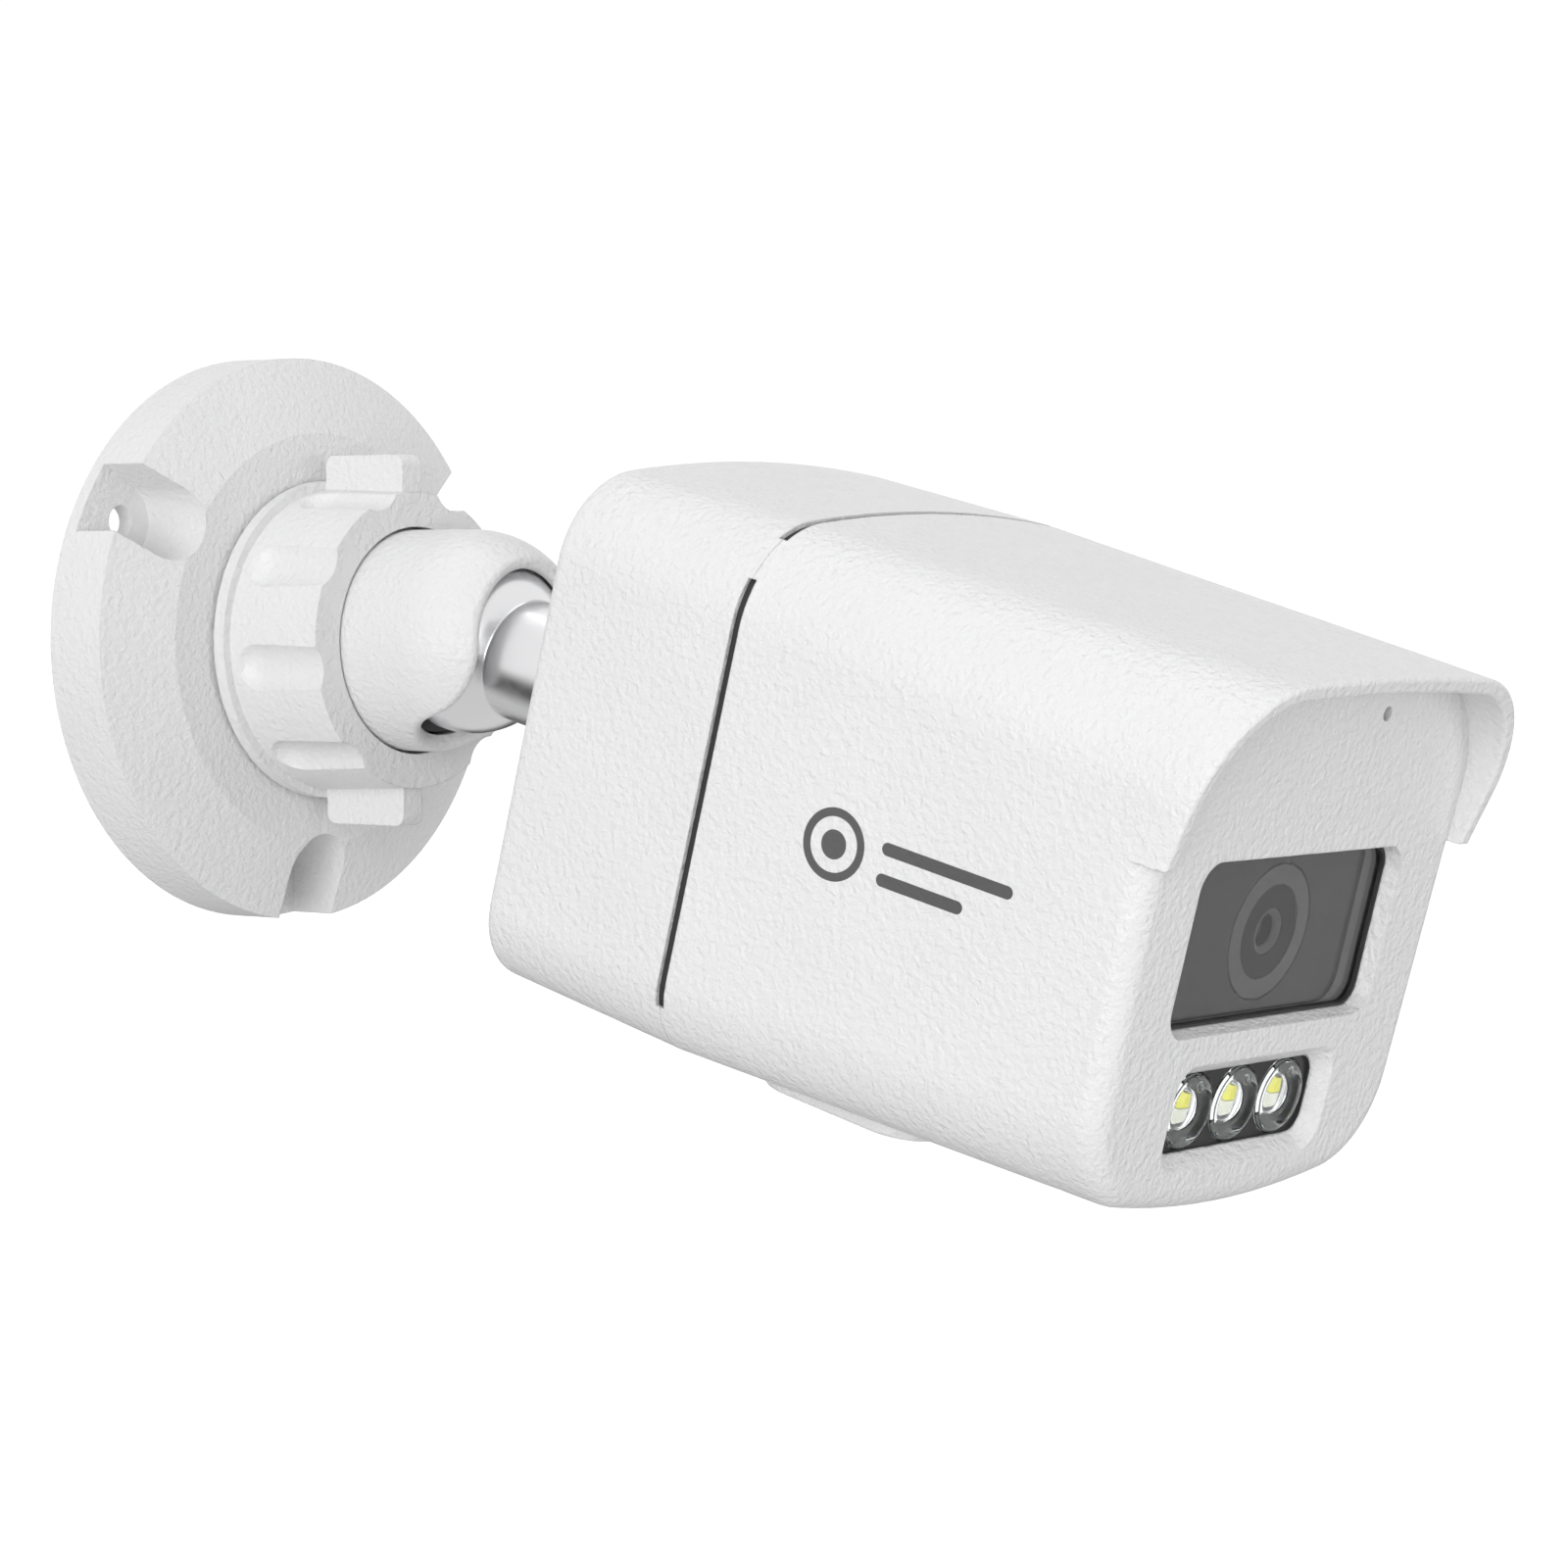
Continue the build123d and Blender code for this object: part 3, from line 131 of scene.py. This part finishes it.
def surface(name, colour, rough, grains=((900, 0.01),), vary=0.04, blotch=60, rounding=0.0, **sockets):
    """A material whose colour and roughness vary a little.

    The grain is given as (scale, height in mm) layers, and rounding is the radius in mm that softens the
    shading of sharp edges. Other keywords are the shader's own sockets.
    """
    material = bpy.data.materials.new(name)
    material.use_nodes = True
    tree = material.node_tree
    shader = tree.nodes["Principled BSDF"]
    coords = add_node(tree, "ShaderNodeTexCoord").outputs["Object"]
    patches = remap(tree, noise(tree, coords, blotch, PATCH_DETAIL), 0, 1)
    dark = [c * (1 - vary) for c in colour]
    light = [min(1.0, c * (1 + vary)) for c in colour]
    tree.links.new(blend_colours(tree, patches, dark, light), shader.inputs["Base Color"])
    low, high = (rough * share for share in ROUGH_SPREAD)
    tree.links.new(remap(tree, noise(tree, coords, blotch * ROUGH_FINENESS), low, high),
                   shader.inputs["Roughness"])
    height = None
    for scale, tall in grains:
        grain = noise(tree, coords, scale, distortion=GRAIN_SWIRL)
        layer = math_node(tree, "MULTIPLY", grain, tall)
        height = layer if height is None else math_node(tree, "ADD", height, layer)
    bump = add_node(tree, "ShaderNodeBump", {"Height": height, "Distance": MM, "Strength": 1.0})
    if rounding:
        edge = add_node(tree, "ShaderNodeBevel", {"Radius": rounding * MM}, samples=BEVEL_SAMPLES)
        tree.links.new(edge.outputs["Normal"], bump.inputs["Normal"])
    tree.links.new(bump.outputs["Normal"], shader.inputs["Normal"])
    for socket, value in sockets.items():
        shader.inputs[socket.replace("_", " ")].default_value = value
    return material


def glass(name, colour, rough, ior):
    """A clear material, even in colour and without grain."""
    return surface(name, colour, rough, NO_GRAIN, 0.0, Transmission_Weight=1.0, IOR=ior)


WHITE = (0.74, 0.74, 0.742)
CASING_GRAIN = ((1150, 0.34), (2600, 0.06))
BRACKET_GRAIN = ((1150, 0.26), (2600, 0.04))
BLACK_GRAIN = ((1200, 0.006),)
DULL = 0.1    # specular level of the matt parts round the lens
materials = {
    "casing_paint": surface("casing_paint", WHITE, 0.42, CASING_GRAIN, 0.012, rounding=0.35),
    "bracket_paint": surface("bracket_paint", WHITE, 0.46, BRACKET_GRAIN, 0.012, rounding=0.25),
    "seat_plastic": surface("seat_plastic", (0.05, 0.05, 0.055), 0.5),
    "neck_metal": surface("neck_metal", (0.74, 0.74, 0.75), 0.24, ((2500, 0.0012),), 0.03, rounding=0.3,
                          Metallic=1.0),
    "steel": surface("steel", (0.60, 0.60, 0.60), 0.32, ((1600, 0.004),), Metallic=1.0),
    "dark_screws": surface("dark_screws", (0.10, 0.10, 0.105), 0.4, ((1600, 0.004),), Metallic=1.0),
    "seal_rubber": surface("seal_rubber", (0.022, 0.022, 0.023), 0.6, ((1500, 0.01),)),
    "window_glass": glass("window_glass", (0.82, 0.82, 0.82), 0.0, 1.5),
    "board_dark": surface("board_dark", (0.10, 0.105, 0.10), 0.38, ((900, 0.004),), 0.3, 900),
    "mask_black": surface("mask_black", (0.075, 0.075, 0.075), 0.5, BLACK_GRAIN, Specular_IOR_Level=DULL),
    # Painted shade: a darker black than the window mask's, put on the lens barrel and holder for the shade deep
    # inside the lens opening
    "barrel_painted_shade": surface("barrel_painted_shade", (0.012, 0.012, 0.012), 0.45, BLACK_GRAIN,
                            Specular_IOR_Level=DULL),
    "shield_plastic": surface("shield_plastic", (0.15, 0.15, 0.15), 0.5, BLACK_GRAIN,
                              Specular_IOR_Level=DULL),
    "print_ink": surface("print_ink", (0.085, 0.085, 0.085), 0.5, ((1150, 0.1),), 0.06),
    "lens_glass": glass("lens_glass", (0.90, 0.92, 0.96), 0.01, 1.6),
    "slide_plastic": surface("slide_plastic", (0.03, 0.03, 0.03), 0.5),
    "infrared_glass": glass("infrared_glass", (0.60, 0.85, 0.90), 0.02, 1.5),
    "clear_glass": glass("clear_glass", (0.95, 0.96, 0.96), 0.02, 1.5),
    "inner_aluminium": surface("inner_aluminium", (0.70, 0.70, 0.71), 0.35, ((1400, 0.005),), Metallic=1.0),
    "board_green": surface("board_green", (0.03, 0.16, 0.07), 0.38, ((900, 0.004),), 0.25, 900),
    "sensor_glass": surface("sensor_glass", (0.05, 0.06, 0.09), 0.12, ((400, 0.001),)),
    "chip_black": surface("chip_black", (0.03, 0.03, 0.03), 0.55, ((1800, 0.006),)),
    "tin_plate": surface("tin_plate", (0.68, 0.68, 0.67), 0.3, ((1000, 0.004),), Metallic=1.0),
    "capacitor_sleeve": surface("capacitor_sleeve", (0.60, 0.60, 0.62), 0.3, ((1000, 0.004),), Metallic=1.0),
    "connector_plastic": surface("connector_plastic", (0.82, 0.80, 0.72), 0.5),
    "ribbon_film": surface("ribbon_film", (0.62, 0.33, 0.08), 0.3, ((500, 0.004),), 0.1),
    "button_plastic": surface("button_plastic", (0.04, 0.04, 0.04), 0.5),
    "led_mask_black": surface("led_mask_black", (0.045, 0.044, 0.046), 0.42, ((1400, 0.008),)),
    "optic_clear": glass("optic_clear", (0.97, 0.99, 1.0), 0.02, 1.34),
    "led_yellow": surface("led_yellow", (0.80, 0.76, 0.06), 0.45, ((3000, 0.02),), 0.08, 900),
    "led_cream": surface("led_cream", (0.80, 0.80, 0.66), 0.3, ((3000, 0.01),), 0.06, 900),
    "microphone_metal": surface("microphone_metal", (0.60, 0.60, 0.60), 0.35, ((1400, 0.005),), Metallic=1.0),
}

for part in record["subparts"]:
    node = nodes[part["node"]]
    node.data.materials.clear()
    node.data.materials.append(materials[part["material_slot"]])
# These two share their slot with the window mask, but take a darker black as painted shade for the shade deep
# inside the lens opening
for dark in ("lens_barrel", "lens_holder"):
    nodes[dark].data.materials[0] = materials["barrel_painted_shade"]


# ---------------------------------------------------------------- pieces built here
SHARP = radians(32)


def piece(name, shape, material, body, replaced=()):
    """Turns a bmesh in the camera body's own frame (mm) into a piece that rides on a body."""
    shape.transform(body_frame @ Matrix.Scale(MM, 4))
    bmesh.ops.recalc_face_normals(shape, faces=shape.faces)
    mesh = bpy.data.meshes.new(name)
    shape.to_mesh(mesh)
    shape.free()
    mesh.materials.append(material)
    made = bpy.data.objects.new(name, mesh)
    bpy.context.scene.collection.objects.link(made)
    mesh.shade_smooth()
    mesh.set_sharp_from_angle(angle=SHARP)
    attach(made, body)
    if replaced:
        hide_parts(*replaced)


def lathe(shape, profile, middle, steps=96):
    """Turns a profile of (radius, station) points about an axis along z through the point middle."""
    rings = []
    for radius, station in profile:
        if radius == 0:
            rings.append([shape.verts.new((middle[0], middle[1], station))])
            continue
        turns = [2 * pi * i / steps for i in range(steps)]
        rings.append([shape.verts.new((middle[0] + radius * cos(t), middle[1] + radius * sin(t), station))
                      for t in turns])
    for first, second in zip(rings, rings[1:]):
        for i in range(steps):
            j = (i + 1) % steps
            corners = (first[i % len(first)], first[j % len(first)],
                       second[j % len(second)], second[i % len(second)])
            distinct = list(dict.fromkeys(corners))
            if len(distinct) > 2:
                shape.faces.new(distinct)


# LED optics: a domed lens with a rounded flange, a moulding bead and a short cone that holds the chips in a
# pocket. All in mm.
OPTIC_FOOT = ((0, 1.0), (1.7, 0.95), (2.2, 0.7), (2.4, 0.0), (3.4, 0.0), (3.8, 0.9))   # radius, height
OPTIC_NECK = 4.1      # the cone's radius where it meets the flange
OPTIC_BAND = 0.4      # the flange's straight edge
OPTIC_EASE = 0.12     # how far the flange's upper edge is drawn in
OPTIC_RIM = 0.6       # the flange's height, from which the dome rises
OPTIC_LIP = 0.4       # from the flange's edge to the dome
OPTIC_RISE = 1.5      # from the flange's underside to the top of the dome
DOME_STEPS = 16
BEAD_RADIUS = 0.62
BEAD_WIRE = 0.11      # radius of the bead's round section
BEAD_OUT = 0.67       # the bead's place, as a share of the optic's radius
BEAD_LEVEL = 0.80     # and its height, as a share of the rise
BEAD_STEPS = 40
BEAD_SIDES = 10


def add_bead(shape, middle, height):
    """Adds a small closed ring of round section about the point middle."""
    rings = []
    for i in range(BEAD_STEPS):
        around = 2 * pi * i / BEAD_STEPS
        out = Vector((cos(around), sin(around), 0))
        spot = Vector((middle[0] + BEAD_RADIUS * cos(around), middle[1] + BEAD_RADIUS * sin(around), 0))
        turns = [2 * pi * k / BEAD_SIDES for k in range(BEAD_SIDES)]
        rings.append([shape.verts.new(spot + out * BEAD_WIRE * cos(t) + Vector((0, 0, height))
                                      + Vector((0, 0, BEAD_WIRE * sin(t)))) for t in turns])
    for first, second in zip(rings, rings[1:] + rings[:1]):
        for i in range(BEAD_SIDES):
            j = (i + 1) % BEAD_SIDES
            shape.faces.new((first[i], second[i], second[j], first[j]))


for number in (1, 2, 3):
    low, high = span(f"led_optic_{number}")
    middle = ((low.x + high.x) / 2 / MM, (low.y + high.y) / 2 / MM)
    edge = (high.x - low.x) / 2 / MM
    bottom, front = low.z / MM, high.z / MM
    seat = front - OPTIC_RISE
    top = edge - OPTIC_LIP
    climb = OPTIC_RISE - OPTIC_RIM
    turns = [pi / 2 * i / DOME_STEPS for i in range(DOME_STEPS)]
    profile = [(radius, bottom + height) for radius, height in OPTIC_FOOT]
    profile += [(OPTIC_NECK, seat), (edge, seat), (edge, seat + OPTIC_BAND)]
    profile += [(edge - OPTIC_EASE, seat + OPTIC_RIM)]
    profile += [(top * cos(t), seat + OPTIC_RIM + climb * sin(t)) for t in turns]
    profile += [(0, front)]
    shape = bmesh.new()
    lathe(shape, profile, middle)
    add_bead(shape, (middle[0], middle[1] + BEAD_OUT * edge), seat + OPTIC_RISE * BEAD_LEVEL)
    piece(f"optic_lens_{number}", shape, materials["optic_clear"], "camera",
          [f"led_optic_{number}"])

# Retaining ring round the front lens, as (radius, depth below the barrel's face). It is open at the back,
# where the barrel hides it.
RETAINER = ((2.75, 0.6), (2.75, 0.1), (2.65, 0.02), (2.45, 0.02), (2.3, 0.2), (2.1, 0.3), (1.95, 0.5),
            (1.95, 0.75), (2.2, 0.75))
face = span("lens_barrel")[1].z / MM
shape = bmesh.new()
lathe(shape, [(radius, face - depth) for radius, depth in RETAINER], (0, 0))
piece("lens_retainer", shape, materials["shield_plastic"], "camera")

# A plain printed mark on the casing's left side: a ring with a dot in it and two bars. All in mm.
INK = 0.03                           # half the print's thickness
OUTSIDE = 60.0                       # where the rays towards the casing start
MARK_PLACE = (87.0, 0.6)             # station and height of the ring's middle
MARK_RING = (4.2, 3.7, 3.2)          # radii from the edge inwards
MARK_DOT = (1.7, 1.1, 0.5)
BARS = ((94.2, 110.5, 2.2), (94.2, 104.5, -1.4))    # first and last station, and height
BAR_RADII = (0.75, 0.3)


def printed(shape, skin, loops):
    """Lays a thin printed shape on the casing: loops of (station, height) points from its edge inwards."""
    levels = []
    for lift in (INK, -INK):
        sheet = []
        for loop in loops:
            line = []
            for station, rise in loop:
                hit = skin.ray_cast(Vector((-OUTSIDE, rise, station)), Vector((1, 0, 0)))[0]
                line.append(shape.verts.new(hit - Vector((lift, 0, 0))))
            sheet.append(line)
        levels.append(sheet)
    top, under = levels
    count = len(top[0])
    strips = list(zip(top, top[1:])) + list(zip(under, under[1:])) + [(top[0], under[0])]
    if len(top[-1]) > 1:
        strips.append((top[-1], under[-1]))
    for first, second in strips:
        for i in range(count):
            j = (i + 1) % count
            corners = (first[i], first[j], second[j % len(second)], second[i % len(second)])
            shape.faces.new(list(dict.fromkeys(corners)))


def ring_loop(station, rise, radius, count=72):
    turns = [2 * pi * i / count for i in range(count)]
    return [(station + radius * cos(t), rise + radius * sin(t)) for t in turns]


def bar_loop(start, end, rise, radius, count=24):
    """A bar with round ends."""
    points = []
    for station, first_turn in ((end, -pi / 2), (start, pi / 2)):
        turns = [first_turn + pi * i / (count - 1) for i in range(count)]
        points += [(station + radius * cos(t), rise + radius * sin(t)) for t in turns]
    return points


housing = nodes["front_housing"].data
to_body = Matrix.Scale(1 / MM, 4) @ body_frame.inverted()
skin = BVHTree.FromPolygons([to_body @ v.co for v in housing.vertices],
                            [p.vertices[:] for p in housing.polygons])
shape = bmesh.new()
printed(shape, skin, [ring_loop(*MARK_PLACE, radius) for radius in MARK_RING])
printed(shape, skin, [ring_loop(*MARK_PLACE, radius) for radius in MARK_DOT] + [[MARK_PLACE]])
for start, end, rise in BARS:
    middle = (start + end) / 2
    printed(shape, skin, [bar_loop(start, end, rise, radius) for radius in BAR_RADII] + [[(middle, rise)]])
piece("printed_mark", shape, materials["print_ink"], "camera")

# ---------------------------------------------------------------- floor, lights and camera
FLOOR_DROP = 0.5       # m below the part, so that views from below aren't blocked
FLOOR_RADIUS = 30
FLOOR_SIDES = 96
FLOOR_GREY = (0.36, 0.36, 0.36)
FLOOR_GLOW = 0.86
SKY = 0.55             # what matt surfaces receive
BACKDROP = 1.05        # what the view itself shows
# What gloss reflects, from straight down (0) to straight up (1): a bright floor, a dark band, a bright room
SHINE = ((0.19, 0.75), (0.27, 0.07), (0.37, 0.07), (0.49, 1.0))
# Name, place from the part's centre (m), side (m) and power (W)
LAMPS = (("key", (-1.05, -0.40, 0.10), 0.8, 8.5),
         ("top", (0.1, 0.05, 1.2), 0.8, 3.4),
         ("fill", (0.4, -1.2, -0.15), 0.7, 3.6))


def lamp(name, place, target, side, power):
    light = bpy.data.lights.new(name, "AREA")
    light.shape = "RECTANGLE"
    light.size = light.size_y = side
    light.energy = power
    holder = bpy.data.objects.new(name, light)
    bpy.context.scene.collection.objects.link(holder)
    holder.location = place
    holder.rotation_euler = (Vector(place) - Vector(target)).to_track_quat("Z", "Y").to_euler()


centre = (Vector(cad_box[0]) + Vector(cad_box[1])) / 2

ground = bpy.data.meshes.new("floor")
shape = bmesh.new()
bmesh.ops.create_circle(shape, cap_ends=True, radius=FLOOR_RADIUS, segments=FLOOR_SIDES)
shape.to_mesh(ground)
shape.free()
floor = bpy.data.objects.new("floor", ground)
floor.location = (centre.x, centre.y, cad_box[0][2] - FLOOR_DROP)
floor.visible_glossy = False
floor.visible_diffuse = False
bpy.context.scene.collection.objects.link(floor)
ground.materials.append(surface("floor_white", FLOOR_GREY, 0.8, ((30, 0.02),), 0.01, 3,
                                Emission_Color=(1, 1, 1, 1), Emission_Strength=FLOOR_GLOW))

world = bpy.data.worlds.new("studio")
world.use_nodes = True
bpy.context.scene.world = world
sky = world.node_tree
backdrop = sky.nodes["Background"]
heading = add_node(sky, "ShaderNodeTexCoord").outputs["Generated"]
steepness = add_node(sky, "ShaderNodeSeparateXYZ", {"Vector": heading}).outputs["Z"]
spread = add_node(sky, "ShaderNodeMapRange", {"Value": steepness, "From Min": -1.0}).outputs["Result"]
band = add_node(sky, "ShaderNodeValToRGB", {"Fac": spread})
while len(band.color_ramp.elements) < len(SHINE):
    band.color_ramp.elements.new(0.5)
for stop, (position, bright) in zip(band.color_ramp.elements, SHINE):
    stop.position = position
    stop.color = (bright, bright, bright, 1)
shine = math_node(sky, "MULTIPLY", band.outputs["Color"], BACKDROP)
rays = add_node(sky, "ShaderNodeLightPath").outputs
lighting = add_node(sky, "ShaderNodeMix", {"Factor": rays["Is Diffuse Ray"], "A": shine, "B": SKY})
seen = math_node(sky, "MULTIPLY", rays["Is Camera Ray"], BACKDROP)
sky.links.new(math_node(sky, "MAXIMUM", lighting.outputs["Result"], seen), backdrop.inputs["Strength"])
backdrop.inputs["Color"].default_value = (1, 1, 1, 1)

for name, offset, side, power in LAMPS:
    lamp(name, centre + Vector(offset), centre, side, power)

# The photograph's viewing angle
AZIMUTH = radians(-52.364)
ELEVATION = radians(2.61)
VIEWPOINT = (-0.43189, -0.42369, 0.00770)
FOCAL_MM = 101.88
SENSOR_MM = 36.0
NEAREST = 0.01
right = Vector((cos(AZIMUTH), sin(AZIMUTH), 0))
back = Vector((sin(AZIMUTH) * cos(ELEVATION), -cos(AZIMUTH) * cos(ELEVATION), sin(ELEVATION)))
turned = Matrix((right, back.cross(right), back)).transposed().to_4x4()
lens = bpy.data.cameras.new("view")
lens.lens = FOCAL_MM
lens.sensor_width = SENSOR_MM
lens.clip_start = NEAREST
lens.dof.use_dof = False
view = bpy.data.objects.new("view", lens)
bpy.context.scene.collection.objects.link(view)
view.matrix_world = Matrix.Translation(VIEWPOINT) @ turned
bpy.context.scene.camera = view
bpy.context.scene.view_settings.view_transform = "Standard"
